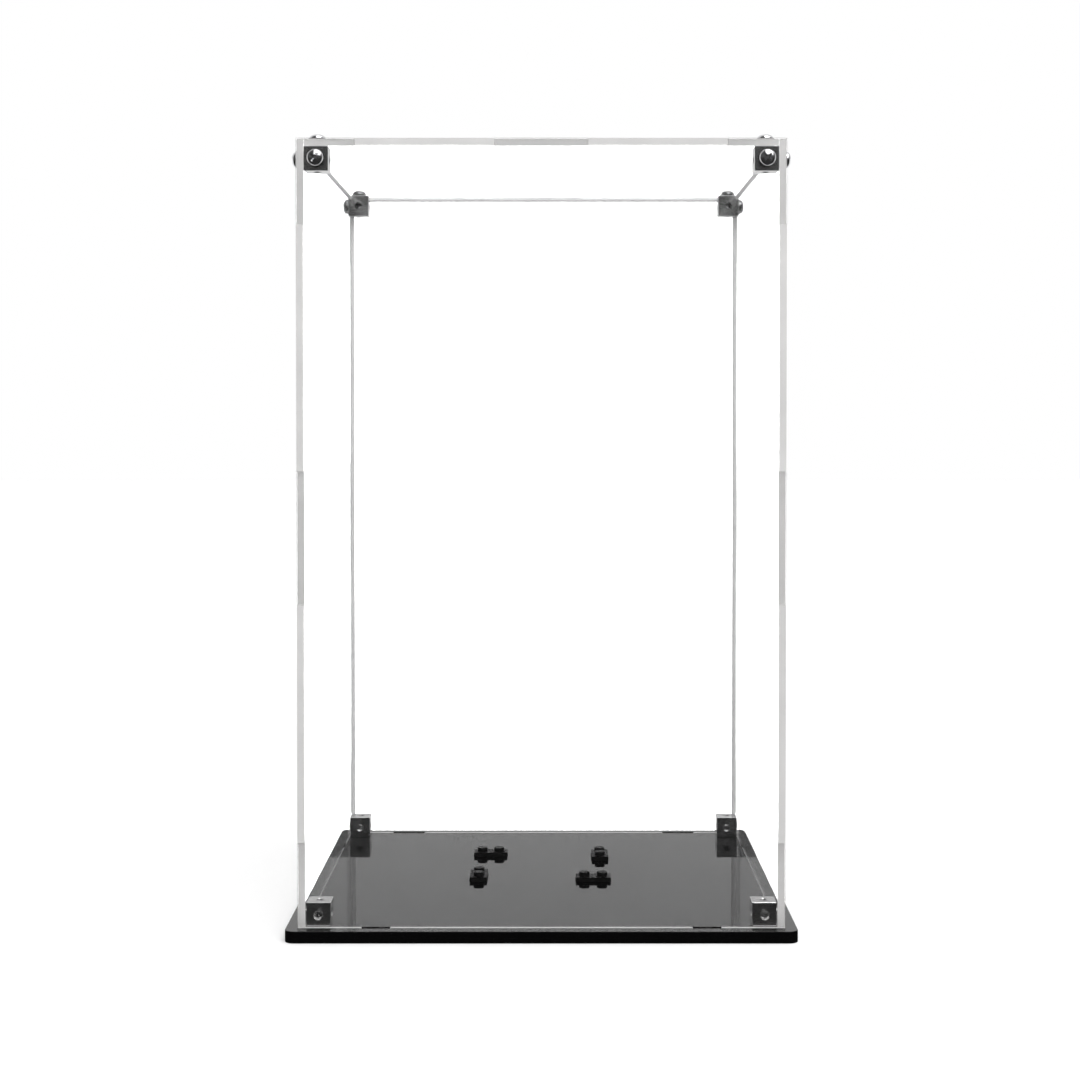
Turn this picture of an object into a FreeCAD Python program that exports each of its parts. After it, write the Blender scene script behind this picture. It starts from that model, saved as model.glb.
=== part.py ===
import FreeCAD, Part

import os
import re
from enum import IntEnum, auto

import Sketcher

# A tall clear case for showing a brick-built model, in millimetres, +Z up. The origin is the
# centre of the base's underside. Five laser-cut acrylic panels with interlocking fingers make
# a cover that lifts off. Cube blocks, tapped along all three axes, hold its upper corners with
# three screws each. Four more blocks, screwed up through the base, stand inside its lower
# corners and centre it, and its tabs drop into slots in the base. Four studded plates are set
# into the base to hold the model.

# Each driving dimension: its value and what it measures.
DIMENSIONS = {
    "case_width": (200.0, "outer face of the left panel to that of the right panel"),
    "case_depth": (180.0, "outer face of the front panel to that of the back panel"),
    "case_height": (323.0, "top of the base to the outer face of the top panel"),
    "sheet_thickness": (3.0, "clear acrylic sheet"),
    "cut_gap": (0.1, "gap that the laser leaves between two panels' fingers"),
    "upright_corner_finger": (35.0, "height of the corner fingers on the upright edges"),
    "upright_middle_finger": (54.5, "height of the middle finger on the upright edges"),
    "upright_middle_drop": (1.5, "how far the middle finger lies below the edge's middle"),
    "width_corner_finger": (24.0, "length of the corner fingers along the width"),
    "width_middle_finger": (38.0, "length of the middle finger along the width"),
    "depth_corner_finger": (24.0, "length of the corner fingers along the depth"),
    "depth_middle_finger": (50.0, "length of the middle finger along the depth"),
    "base_margin": (5.0, "base beyond the cover on every side"),
    "base_thickness": (5.0, "black acrylic sheet of the base"),
    "base_corner_radius": (4.0, "rounding of the base's corners in plan"),
    "tab_length": (4.5, "how far the cover's tabs reach into the base"),
    "front_tab_width": (12.0, "width of the front panel's tabs"),
    "back_tab_width": (16.0, "width of the back panel's tabs"),
    "side_tab_width": (12.0, "width of the side panels' tabs"),
    "width_tab_spacing": (136.0, "centre to centre of the front and of the back tabs"),
    "depth_tab_spacing": (122.0, "centre to centre of each side panel's tabs"),
    "slot_clearance": (0.15, "gap between a tab and its slot, on every side"),
    "block_size": (10.0, "edge of the corner blocks"),
    "block_clearance": (0.3, "gap between a lower block and the cover"),
    "tapped_diameter": (3.1, "tapped holes, without their threads"),
    "screw_diameter": (3.0, "shank of every screw"),
    "thread_engagement": (3.0, "how far each screw reaches into its block"),
    "screw_hole_diameter": (3.4, "clearance holes for the screws"),
    "pan_diameter": (6.8, "pan heads of the cover's screws"),
    "pan_height": (2.5, "height of the pan heads"),
    "pan_bevel_width": (1.4, "bevel of the pan heads' rims, inwards from the rim"),
    "pan_bevel_height": (1.3, "the same bevel, down from the head's top"),
    "recess_span": (3.6, "cross recess, from tip to tip"),
    "recess_slot": (0.9, "width of each arm of the cross recess"),
    "recess_depth": (1.4, "depth of the cross recess in the pan heads"),
    "flat_head_diameter": (5.6, "countersunk heads of the base's screws"),
    "flat_recess_depth": (0.8, "depth of the cross recess in the countersunk heads"),
    "flat_head_sink": (0.2, "how far those heads lie inside the base's underside"),
    "flat_head_clearance": (0.1, "gap round those heads"),
    "stud_pitch": (8.0, "pitch of the studs"),
    "stud_diameter": (4.8, "diameter of the studs"),
    "stud_height": (1.8, "height of the studs"),
    "plate_height": (3.2, "height of a studded plate without its studs"),
    "plate_gap": (0.2, "how much less than its share of the pitch a plate measures"),
    "plate_wall": (1.5, "side walls of a plate's hollow underside"),
    "plate_roof": (1.2, "thickness of a plate under its studs"),
    "plate_pin_diameter": (3.2, "pin in the middle of a plate's hollow underside"),
    "plate_sink": (1.4, "depth of the base's pockets that hold the plates"),
    "pocket_clearance": (0.1, "gap round a plate in its pocket"),
    "stud_span_width": (56.0, "centre to centre of the outer studs along the width"),
    "stud_span_depth": (48.0, "centre to centre of the outer studs along the depth"),
    "studs_sideways": (-1.0, "middle of the studs, right of the base's middle"),
    "studs_rearward": (16.0, "middle of the studs, behind the base's middle"),
}

# Places that several pieces share, as formulas of the dimensions.
UPPER_BLOCK_X = "(case_width / 2 - sheet_thickness - block_size / 2)"
UPPER_BLOCK_Y = "(case_depth / 2 - sheet_thickness - block_size / 2)"
UPPER_BLOCK_Z = "(base_thickness + case_height - sheet_thickness - block_size / 2)"
LOWER_BLOCK_X = "(case_width / 2 - sheet_thickness - block_clearance - block_size / 2)"
LOWER_BLOCK_Y = "(case_depth / 2 - sheet_thickness - block_clearance - block_size / 2)"
LOWER_BLOCK_Z = "(base_thickness + block_size / 2)"
CASE_TOP_Z = "(base_thickness + case_height)"
NOTCH = "(sheet_thickness + cut_gap)"

# The fingers along each kind of edge: its length, its corner and middle fingers, and how far
# the middle finger lies from the edge's middle towards its start.
UPRIGHT_EDGE = (
    "case_height", "upright_corner_finger", "upright_middle_finger", "upright_middle_drop"
)
WIDE_EDGE = ("case_width", "width_corner_finger", "width_middle_finger", "0")
DEEP_EDGE = ("case_depth", "depth_corner_finger", "depth_middle_finger", "0")

# Turns that stand a piece drawn flat on its own edge.
FACING_FRONT = FreeCAD.Rotation(FreeCAD.Vector(1, 0, 0), 90)
FACING_RIGHT = FreeCAD.Rotation(FreeCAD.Vector(1, 1, 1), 120)
FACING_LEFT = FreeCAD.Rotation(FreeCAD.Vector(0, 1, 0), -90)
UNTURNED = FreeCAD.Rotation()

TOLERANCE = 1e-6


class Point(IntEnum):
    """The points of a sketch's line or circle, as Sketcher counts them."""
    START = auto()
    END = auto()
    CENTRE = auto()


ORIGIN_POINT = (-1, Point.START)


def add_sheet(doc):
    """Put each driving dimension in a cell of its own, named after it."""
    sheet = doc.addObject("Spreadsheet::Sheet", "Dimensions")
    for row, (alias, (value, meaning)) in enumerate(DIMENSIONS.items(), start=1):
        sheet.set(f"A{row}", meaning)
        sheet.set(f"B{row}", str(value))
        sheet.setAlias(f"B{row}", alias)
    doc.recompute()


def formula(text):
    """Point every dimension that a formula names at its cell."""
    def cell(word):
        return f"Dimensions.{word[0]}" if word[0] in DIMENSIONS else word[0]
    return re.sub(r"[a-z_]+", cell, text)


def place(item, turn, x, y, z):
    """Turn a piece, then hold its origin at three formulas."""
    item.Placement = FreeCAD.Placement(FreeCAD.Vector(), turn)
    item.setExpression("Placement.Base.x", formula(x))
    item.setExpression("Placement.Base.y", formula(y))
    item.setExpression("Placement.Base.z", formula(z))


def add_body(doc, name):
    """Start a piece that is built up feature by feature."""
    body = doc.addObject("PartDesign::Body", name)
    body.Label = name
    return body


def add_sketch(body, name, role="XY_Plane", lift="0"):
    """Start a sketch on one of the body's own planes, raised by a formula."""
    sketch = body.newObject("Sketcher::SketchObject", name)
    plane = next(item for item in body.Origin.OriginFeatures if item.Role == role)
    sketch.AttachmentSupport = [(plane, "")]
    sketch.MapMode = "FlatFace"
    sketch.setExpression("AttachmentOffset.Base.z", formula(lift))
    return sketch


def hold(sketch, direction, geometry, point, distance):
    """Keep a point's distance from the sketch's origin equal to a formula."""
    rule = Sketcher.Constraint(direction, *ORIGIN_POINT, geometry, point, 1.0)
    index = sketch.addConstraint(rule)
    sketch.setExpression(f"Constraints[{index}]", formula(distance))


def add_outline(sketch, corners):
    """Draw a closed outline with straight sides through corners given as formulas."""
    count = len(corners)
    turn = FreeCAD.Rotation(FreeCAD.Vector(0, 0, 1), 360.0 / count)
    start = FreeCAD.Vector(1, 0, 0)
    first = sketch.GeometryCount
    for _ in corners:
        end = turn.multVec(start)
        sketch.addGeometry(Part.LineSegment(start, end))
        start = end
    for step, (across, along) in enumerate(corners):
        line, following = first + step, first + (step + 1) % count
        sketch.addConstraint(
            Sketcher.Constraint("Coincident", line, Point.END, following, Point.START)
        )
        hold(sketch, "DistanceX", line, Point.START, across)
        hold(sketch, "DistanceY", line, Point.START, along)


def add_rectangle(sketch, left, low, right, high):
    """Draw an upright rectangle between four formulas."""
    add_outline(sketch, [(left, low), (right, low), (right, high), (left, high)])


def add_circle(sketch, across, along, diameter):
    """Draw a circle whose centre and diameter are formulas."""
    circle = sketch.addGeometry(Part.Circle())
    hold(sketch, "DistanceX", circle, Point.CENTRE, across)
    hold(sketch, "DistanceY", circle, Point.CENTRE, along)
    index = sketch.addConstraint(Sketcher.Constraint("Diameter", circle, 1.0))
    sketch.setExpression(f"Constraints[{index}]", formula(diameter))


def pad(body, sketch, height):
    """Raise a sketch into the body's material."""
    feature = body.newObject("PartDesign::Pad", f"{sketch.Name}_pad")
    feature.Profile = sketch
    feature.setExpression("Length", formula(height))
    sketch.Visibility = False
    return feature


def pocket(body, sketch, depth=None, upward=True):
    """Cut a sketch out of the body, right through it or to a depth."""
    feature = body.newObject("PartDesign::Pocket", f"{sketch.Name}_pocket")
    feature.Profile = sketch
    feature.Reversed = upward
    if depth is None:
        feature.Type = "ThroughAll"
    else:
        feature.setExpression("Length", formula(depth))
    sketch.Visibility = False
    return feature


def turned(body, sketch):
    """Spin a sketch about its own upright axis into the body's material."""
    feature = body.newObject("PartDesign::Revolution", f"{sketch.Name}_turned")
    feature.Profile = sketch
    feature.ReferenceAxis = (sketch, ["V_Axis"])
    feature.Angle = 360.0
    sketch.Visibility = False
    return feature


def dress(doc, body, kind, size_name, size, wanted):
    """Fillet or chamfer those edges of the body so far that a test picks."""
    doc.recompute()
    base = body.Tip
    edges = base.Shape.Edges
    names = [f"Edge{number}" for number, edge in enumerate(edges, start=1) if wanted(edge)]
    feature = body.newObject(f"PartDesign::{kind}", f"{body.Name}_{kind.lower()}")
    feature.Base = (base, names)
    feature.setExpression(size_name, formula(size))
    return feature


def value(doc, name):
    """Read a dimension back from its cell."""
    return doc.getObject("Dimensions").get(name)


def is_circle(edge, radius, height):
    """Tell whether an edge is a level circle of this radius at this height."""
    if not isinstance(edge.Curve, Part.Circle):
        return False
    right_size = abs(edge.Curve.Radius - radius) < TOLERANCE
    return right_size and abs(edge.Curve.Center.z - height) < TOLERANCE


def middle_pair(length, corner, middle, drop):
    """Give the two stretches of an edge between its middle and its corner fingers."""
    return [
        (corner, f"({length} - {middle}) / 2 - {drop}"),
        (f"({length} + {middle}) / 2 - {drop}", f"{length} - {corner}"),
    ]


def own_pair(edge):
    """Give the same two stretches, shortened by the gap at each end."""
    return [(f"{low} + cut_gap", f"{high} - cut_gap") for low, high in middle_pair(*edge)]


def left_over(length, stretches):
    """Give the three stretches of an edge that a pair of stretches leaves over."""
    (low, near), (far, high) = stretches
    return [("0", low), (near, far), (high, length)]


def screw_holes(sketch, length, inset, height):
    """Draw a pair of clearance holes, one as far from each end of the length."""
    for across in (inset, f"{length} - {inset}"):
        add_circle(sketch, across, height, "screw_hole_diameter")


def add_tabs(body, length, spacing, tab_width):
    """Add the two tabs below the panel's lower edge."""
    tabs = add_sketch(body, f"{body.Name}_tabs")
    for side in ("-", "+"):
        centre = f"({length} {side} {spacing}) / 2"
        add_rectangle(
            tabs,
            f"{centre} - {tab_width} / 2", "-tab_length",
            f"{centre} + {tab_width} / 2", "sheet_thickness",
        )
    pad(body, tabs, "sheet_thickness")


def upright_blank(doc, name, length):
    """Cut an upright panel's sheet, with its lower left corner at the body's origin."""
    body = add_body(doc, name)
    blank = add_sketch(body, f"{name}_blank")
    add_rectangle(blank, "0", "0", length, "case_height")
    pad(body, blank, "sheet_thickness")
    return body


def wide_panel(doc, name, tab_width):
    """Make the front or back panel, which keeps every corner and middle finger."""
    body = upright_blank(doc, name, "case_width")
    add_tabs(body, "case_width", "width_tab_spacing", tab_width)
    cuts = add_sketch(body, f"{name}_cuts")
    for low, high in middle_pair(*UPRIGHT_EDGE):
        add_rectangle(cuts, "0", low, NOTCH, high)
        add_rectangle(cuts, f"case_width - {NOTCH}", low, "case_width", high)
    for left, right in middle_pair(*WIDE_EDGE):
        add_rectangle(cuts, left, f"case_height - {NOTCH}", right, "case_height")
    upper = f"{UPPER_BLOCK_Z} - base_thickness"
    lower = f"{LOWER_BLOCK_Z} - base_thickness"
    screw_holes(cuts, "case_width", f"(case_width / 2 - {UPPER_BLOCK_X})", upper)
    screw_holes(cuts, "case_width", f"(case_width / 2 - {LOWER_BLOCK_X})", lower)
    pocket(body, cuts)
    return body


def left_panel(doc):
    """Make the left panel, whose fingers fill the front and back panels' notches."""
    body = upright_blank(doc, "left_panel", "case_depth")
    add_tabs(body, "case_depth", "depth_tab_spacing", "side_tab_width")
    cuts = add_sketch(body, "left_panel_cuts")
    for low, high in left_over("case_height", own_pair(UPRIGHT_EDGE)):
        add_rectangle(cuts, "0", low, NOTCH, high)
        add_rectangle(cuts, f"case_depth - {NOTCH}", low, "case_depth", high)
    for left, right in middle_pair(*DEEP_EDGE):
        add_rectangle(cuts, left, f"case_height - {NOTCH}", right, "case_height")
    upper = f"{UPPER_BLOCK_Z} - base_thickness"
    lower = f"{LOWER_BLOCK_Z} - base_thickness"
    screw_holes(cuts, "case_depth", f"(case_depth / 2 - {UPPER_BLOCK_Y})", upper)
    screw_holes(cuts, "case_depth", f"(case_depth / 2 - {LOWER_BLOCK_Y})", lower)
    pocket(body, cuts)
    place(body, FACING_RIGHT, "-case_width / 2", "-case_depth / 2", "base_thickness")
    return body


def top_panel(doc):
    """Make the top panel, whose fingers fill the notches of all four upright panels."""
    body = add_body(doc, "top_panel")
    blank = add_sketch(body, "top_panel_blank")
    add_rectangle(blank, "0", "0", "case_width", "case_depth")
    pad(body, blank, "sheet_thickness")
    side_cuts = add_sketch(body, "top_panel_side_cuts")
    for low, high in left_over("case_depth", own_pair(DEEP_EDGE)):
        add_rectangle(side_cuts, "0", low, NOTCH, high)
        add_rectangle(side_cuts, f"case_width - {NOTCH}", low, "case_width", high)
    pocket(body, side_cuts)
    end_cuts = add_sketch(body, "top_panel_end_cuts")
    for left, right in left_over("case_width", own_pair(WIDE_EDGE)):
        add_rectangle(end_cuts, left, "0", right, NOTCH)
        add_rectangle(end_cuts, left, f"case_depth - {NOTCH}", right, "case_depth")
    pocket(body, end_cuts)
    holes = add_sketch(body, "top_panel_holes")
    inset = f"(case_width / 2 - {UPPER_BLOCK_X})"
    for y in (f"case_depth / 2 - {UPPER_BLOCK_Y}", f"case_depth / 2 + {UPPER_BLOCK_Y}"):
        screw_holes(holes, "case_width", inset, y)
    pocket(body, holes)
    place(
        body, UNTURNED,
        "-case_width / 2", "-case_depth / 2", f"{CASE_TOP_Z} - sheet_thickness",
    )
    return body


def add_slots(sketch):
    """Draw the eight slots that the cover's tabs drop into."""
    reach = "(sheet_thickness + slot_clearance)"
    for across in ("-", "+"):
        for along, tab_width in (("-", "front_tab_width"), ("+", "back_tab_width")):
            centre = f"({across}width_tab_spacing / 2)"
            half = f"({tab_width} / 2 + slot_clearance)"
            add_rectangle(
                sketch,
                f"{centre} - {half}", f"{along}(case_depth / 2 + slot_clearance)",
                f"{centre} + {half}", f"{along}(case_depth / 2 - {reach})",
            )
        for along in ("-", "+"):
            centre = f"({along}depth_tab_spacing / 2)"
            half = "(side_tab_width / 2 + slot_clearance)"
            add_rectangle(
                sketch,
                f"{across}(case_width / 2 + slot_clearance)", f"{centre} - {half}",
                f"{across}(case_width / 2 - {reach})", f"{centre} + {half}",
            )


# Where each studded plate's outer stud stands, left or right and front or back of the studs'
# middle, and the turn that points its second stud at the next plate.
PLATES = {
    "stud_plate_back_left": ("-", "+", 0),
    "stud_plate_back_right": ("+", "+", 270),
    "stud_plate_front_right": ("+", "-", 180),
    "stud_plate_front_left": ("-", "-", 90),
}


def outer_stud(across, along):
    """Give the place of a plate's outer stud."""
    return (
        f"(studs_sideways {across} stud_span_width / 2)",
        f"(studs_rearward {along} stud_span_depth / 2)",
    )


def add_plate_pockets(sketch):
    """Draw the pocket of each studded plate, a little larger than the plate."""
    half = "((stud_pitch - plate_gap) / 2 + pocket_clearance)"
    near, far = f"-{half}", f"(stud_pitch + {half})"
    for across, along, turn in PLATES.values():
        x, y = outer_stud(across, along)
        inward = "-" if across == "+" else "+"
        onward = "-" if along == "+" else "+"
        if turn % 180 == 0:
            add_rectangle(
                sketch, f"{x} {inward} ({near})", f"{y} - {half}",
                f"{x} {inward} {far}", f"{y} + {half}",
            )
        else:
            add_rectangle(
                sketch, f"{x} - {half}", f"{y} {onward} ({near})",
                f"{x} + {half}", f"{y} {onward} {far}",
            )


def base_plate(doc):
    """Make the base: slots for the tabs, pockets for the plates, countersunk screw holes."""
    body = add_body(doc, "base_plate")
    outline = add_sketch(body, "base_outline")
    half_width = "(case_width / 2 + base_margin)"
    half_depth = "(case_depth / 2 + base_margin)"
    add_rectangle(outline, f"-{half_width}", f"-{half_depth}", half_width, half_depth)
    pad(body, outline, "base_thickness")
    dress(
        doc, body, "Fillet", "Radius", "base_corner_radius",
        lambda edge: edge.BoundBox.XLength + edge.BoundBox.YLength < TOLERANCE,
    )
    slots = add_sketch(body, "base_slots")
    add_slots(slots)
    pocket(body, slots)
    holes = add_sketch(body, "base_holes")
    for across in ("-", "+"):
        for along in ("-", "+"):
            x, y = f"{across}{LOWER_BLOCK_X}", f"{along}{LOWER_BLOCK_Y}"
            add_circle(holes, x, y, "screw_hole_diameter")
    pocket(body, holes)
    hole_radius = value(doc, "screw_hole_diameter") / 2
    dress(
        doc, body, "Chamfer", "Size",
        "(flat_head_diameter - screw_hole_diameter) / 2 + flat_head_sink + flat_head_clearance",
        lambda edge: is_circle(edge, hole_radius, 0.0),
    )
    plates = add_sketch(body, "base_plate_pockets", lift="base_thickness")
    add_plate_pockets(plates)
    pocket(body, plates, "plate_sink", upward=False)
    return body


def corner_block(doc, name, x, y, z):
    """Make a cube block, tapped right through along each of its three axes."""
    body = add_body(doc, name)
    half = "(block_size / 2)"
    face = add_sketch(body, f"{name}_face")
    add_rectangle(face, f"-{half}", f"-{half}", half, half)
    pad(body, face, "block_size").Midplane = True
    for axis, role in (("across", "YZ_Plane"), ("deep", "XZ_Plane"), ("up", "XY_Plane")):
        hole = add_sketch(body, f"{name}_hole_{axis}", role)
        add_circle(hole, "0", "0", "tapped_diameter")
        pocket(body, hole).Midplane = True
    place(body, UNTURNED, x, y, z)
    return body


def corner_blocks(doc):
    """Make the four blocks in the cover's upper corners and the four on the base."""
    levels = {
        "upper": (UPPER_BLOCK_X, UPPER_BLOCK_Y, UPPER_BLOCK_Z),
        "lower": (LOWER_BLOCK_X, LOWER_BLOCK_Y, LOWER_BLOCK_Z),
    }
    return [
        corner_block(doc, f"{level}_block_{end}_{side}", f"{across}{x}", f"{along}{y}", z)
        for level, (x, y, z) in levels.items()
        for end, along in (("front", "-"), ("back", "+"))
        for side, across in (("left", "-"), ("right", "+"))
    ]


def stud_plate(doc, name, across, along, turn):
    """Make a plate of two studs, hollow below round a pin, its outer stud at the origin."""
    body = add_body(doc, name)
    half = "(stud_pitch - plate_gap) / 2"
    outline = add_sketch(body, f"{name}_outline")
    add_rectangle(outline, f"-{half}", f"-{half}", f"stud_pitch + {half}", half)
    pad(body, outline, "plate_height")
    studs = add_sketch(body, f"{name}_studs", lift="plate_height")
    add_circle(studs, "0", "0", "stud_diameter")
    add_circle(studs, "stud_pitch", "0", "stud_diameter")
    pad(body, studs, "stud_height")
    hollow = add_sketch(body, f"{name}_hollow")
    inner = f"({half} - plate_wall)"
    add_rectangle(hollow, f"-{inner}", f"-{inner}", f"stud_pitch + {inner}", inner)
    add_circle(hollow, "stud_pitch / 2", "0", "plate_pin_diameter")
    pocket(body, hollow, "plate_height - plate_roof")
    x, y = outer_stud(across, along)
    spin = FreeCAD.Rotation(FreeCAD.Vector(0, 0, 1), turn)
    place(body, spin, x, y, "base_thickness - plate_sink")
    return body


def add_recess(body, lift, depth, upward):
    """Cut the driver's cross into a screw's head, down or up from a level."""
    cross = add_sketch(body, f"{body.Name}_recess", lift=lift)
    long, short = "recess_span / 2", "recess_slot / 2"
    add_outline(cross, [
        (long, f"-{short}"), (long, short), (short, short), (short, long),
        (f"-{short}", long), (f"-{short}", short), (f"-{long}", short), (f"-{long}", f"-{short}"),
        (f"-{short}", f"-{short}"), (f"-{short}", f"-{long}"), (short, f"-{long}"),
        (short, f"-{short}"),
    ])
    pocket(body, cross, depth, upward=upward)


def pan_screw(doc, name, turn, x, y, z):
    """Make a cross-recessed pan-head screw, its head's seat at the origin."""
    body = add_body(doc, name)
    head, shank = "pan_diameter / 2", "screw_diameter / 2"
    tip = "-(sheet_thickness + thread_engagement)"
    profile = add_sketch(body, f"{name}_profile", "XZ_Plane")
    add_outline(profile, [
        ("0", tip), (shank, tip), (shank, "0"), (head, "0"),
        (head, "pan_height - pan_bevel_height"), (f"{head} - pan_bevel_width", "pan_height"),
        ("0", "pan_height"),
    ])
    turned(body, profile)
    add_recess(body, "pan_height", "recess_depth", upward=False)
    place(body, turn, x, y, z)
    return body


def flat_screw(doc, name, x, y):
    """Make a countersunk screw that stands in the base with its head down."""
    body = add_body(doc, name)
    head, shank = "flat_head_diameter / 2", "screw_diameter / 2"
    tip = "base_thickness + thread_engagement - flat_head_sink"
    profile = add_sketch(body, f"{name}_profile", "XZ_Plane")
    add_outline(profile, [
        ("0", "0"), (head, "0"), (shank, f"{head} - {shank}"), (shank, tip), ("0", tip),
    ])
    turned(body, profile)
    add_recess(body, "0", "flat_recess_depth", upward=True)
    place(body, UNTURNED, x, y, "flat_head_sink")
    return body


def mirrored(doc, name, source, normal):
    """Make a piece's mirror image in a plane through the middle of the case."""
    image = doc.addObject("Part::Mirroring", name)
    image.Label = name
    image.Source = source
    image.Normal = normal
    return image


def group(doc, name, pieces):
    """Gather identical screws under one name."""
    gathered = doc.addObject("Part::Compound", name)
    gathered.Label = name
    gathered.Links = pieces
    return gathered


def screws(doc):
    """Make the screws: the cover's by panel, and the four that hold the base's blocks."""
    sideways, lengthways = FreeCAD.Vector(1, 0, 0), FreeCAD.Vector(0, 1, 0)
    top = pan_screw(
        doc, "top_screw", UNTURNED, f"-{UPPER_BLOCK_X}", f"-{UPPER_BLOCK_Y}", CASE_TOP_Z
    )
    top_pair = group(doc, "top_screw_pair", [top, mirrored(doc, "top_screw_image", top, sideways)])
    top_images = mirrored(doc, "top_screw_pair_image", top_pair, lengthways)
    front = pan_screw(
        doc, "front_screw", FACING_FRONT, f"-{UPPER_BLOCK_X}", "-case_depth / 2", UPPER_BLOCK_Z
    )
    front_image = mirrored(doc, "front_screw_image", front, sideways)
    left = pan_screw(
        doc, "left_screw", FACING_LEFT, "-case_width / 2", f"-{UPPER_BLOCK_Y}", UPPER_BLOCK_Z
    )
    left_image = mirrored(doc, "left_screw_image", left, lengthways)
    base = flat_screw(doc, "base_screw", f"-{LOWER_BLOCK_X}", f"-{LOWER_BLOCK_Y}")
    base_image = mirrored(doc, "base_screw_image", base, sideways)
    base_pair = group(doc, "base_screw_pair", [base, base_image])
    base_images = mirrored(doc, "base_screw_pair_image", base_pair, lengthways)
    front_screws = group(doc, "front_screws", [front, front_image])
    left_screws = group(doc, "left_screws", [left, left_image])
    return [
        group(doc, "top_screws", [top_pair, top_images]),
        front_screws,
        mirrored(doc, "back_screws", front_screws, lengthways),
        left_screws,
        mirrored(doc, "right_screws", left_screws, sideways),
        group(doc, "base_screws", [base_pair, base_images]),
    ]


def panels(doc):
    """Make the cover's five panels."""
    front = wide_panel(doc, "front_panel", "front_tab_width")
    place(
        front, FACING_FRONT,
        "-case_width / 2", "-case_depth / 2 + sheet_thickness", "base_thickness",
    )
    back = wide_panel(doc, "back_panel", "back_tab_width")
    place(back, FACING_FRONT, "-case_width / 2", "case_depth / 2", "base_thickness")
    left = left_panel(doc)
    right = mirrored(doc, "right_panel", left, FreeCAD.Vector(1, 0, 0))
    return [front, back, left, right, top_panel(doc)]


def check(doc, nodes):
    """Stop if anything in the document failed or a piece isn't a sound solid."""
    failed = [item.Label for item in doc.Objects if {"Invalid", "Error"} & set(item.State)]
    if failed:
        raise RuntimeError(f"failed to build: {failed}")
    for node in nodes:
        if node.Shape.isNull() or not node.Shape.isValid() or not node.Shape.Solids:
            raise RuntimeError(f"{node.Label} is not a sound solid")


def main():
    doc = FreeCAD.newDocument("display_case")
    add_sheet(doc)
    nodes = [base_plate(doc)]
    nodes += panels(doc)
    nodes += corner_blocks(doc)
    nodes += [stud_plate(doc, name, *where) for name, where in PLATES.items()]
    nodes += screws(doc)
    doc.recompute()
    check(doc, nodes)
    os.makedirs("parts", exist_ok=True)
    for node in nodes:
        node.Shape.exportStep(f"parts/{node.Label}.step")
        print(f"{node.Label}: {len(node.Shape.Solids)} solid(s), {node.Shape.Volume:.1f} mm3")


main()
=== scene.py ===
import math

import bmesh
import bpy
import numpy as np
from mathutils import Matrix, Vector


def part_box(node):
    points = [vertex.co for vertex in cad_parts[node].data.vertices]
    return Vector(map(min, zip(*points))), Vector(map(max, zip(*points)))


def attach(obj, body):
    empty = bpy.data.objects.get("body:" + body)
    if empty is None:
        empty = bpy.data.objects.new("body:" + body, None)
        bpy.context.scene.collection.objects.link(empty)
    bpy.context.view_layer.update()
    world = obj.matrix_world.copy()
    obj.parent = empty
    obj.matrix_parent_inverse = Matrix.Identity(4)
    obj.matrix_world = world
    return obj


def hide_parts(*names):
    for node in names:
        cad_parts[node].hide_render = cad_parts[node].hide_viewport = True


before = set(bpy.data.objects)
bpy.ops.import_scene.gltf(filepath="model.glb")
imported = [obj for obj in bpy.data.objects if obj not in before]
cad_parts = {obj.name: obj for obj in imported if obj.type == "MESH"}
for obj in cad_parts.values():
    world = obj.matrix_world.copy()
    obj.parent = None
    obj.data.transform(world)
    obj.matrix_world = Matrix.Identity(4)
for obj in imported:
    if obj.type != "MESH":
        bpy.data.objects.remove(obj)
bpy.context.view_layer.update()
MM = 0.001

# %% [markdown]
# # A clear display case on a black base
#
# The case is a cover of five clear acrylic sheets on a glossy black base plate. The sheets are cut by
# laser with fingers that interlock, and small metal blocks with chromed screws hold their corners.
# Four little black stud plates in the base carry a model.

# %% The sheets and the base plate
PANELS = {"front_panel": "y", "back_panel": "y", "left_panel": "x", "right_panel": "x", "top_panel": "z"}
for name in (*PANELS, "base_plate"):
    low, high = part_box(name)
    print(name, "is", " x ".join(f"{v / MM:.1f}" for v in high - low), "mm")

# %% [markdown]
# ## The camera
#
# A product photographer stands level with the case and slides the lens down, so that upright edges
# stay upright. Blender's name for that slide is shift. All of it could be slid here, but the shift stays
# when the camera walks round the case, and too much would cut off the top of the other views. So
# most of it is slid, and the rest is a tilt of about one degree, too small to notice.

# %% Camera
CAMERA_PLACE = Vector((4.6, -841.2, 211.8)) * MM
CAMERA_LENS = 61.4
CAMERA_TILT = math.radians(1.1)
CAMERA_SHIFT = (-0.0117, -0.075)
NEAREST_SEEN = 0.01


def add_camera():
    data = bpy.data.cameras.new("camera")
    data.lens = CAMERA_LENS
    data.shift_x, data.shift_y = CAMERA_SHIFT
    data.clip_start = NEAREST_SEEN
    camera = bpy.data.objects.new("camera", data)
    camera.location = CAMERA_PLACE
    camera.rotation_euler = (math.radians(90) - CAMERA_TILT, 0, 0)
    bpy.context.scene.collection.objects.link(camera)
    bpy.context.scene.camera = camera
    bpy.context.scene.view_settings.view_transform = "Standard"
    return camera


camera = add_camera()
print("camera stands", round(-camera.location.y / MM), "mm in front of the middle of the case")

# %% [markdown]
# ## Wiring nodes by hand
#
# Materials, the room and the repeated pieces are all node trees. Wiring one in Python is always the
# same three moves: make a node, set its plain values and link its sockets. The helpers below do that,
# so that each material further down reads like a recipe.


# %% Node helpers
def give(tree, plug, value):
    """Links a socket to the plug, or sets the plug to a plain value."""
    if isinstance(value, bpy.types.NodeSocket):
        tree.links.new(value, plug)
    else:
        plug.default_value = value


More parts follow.
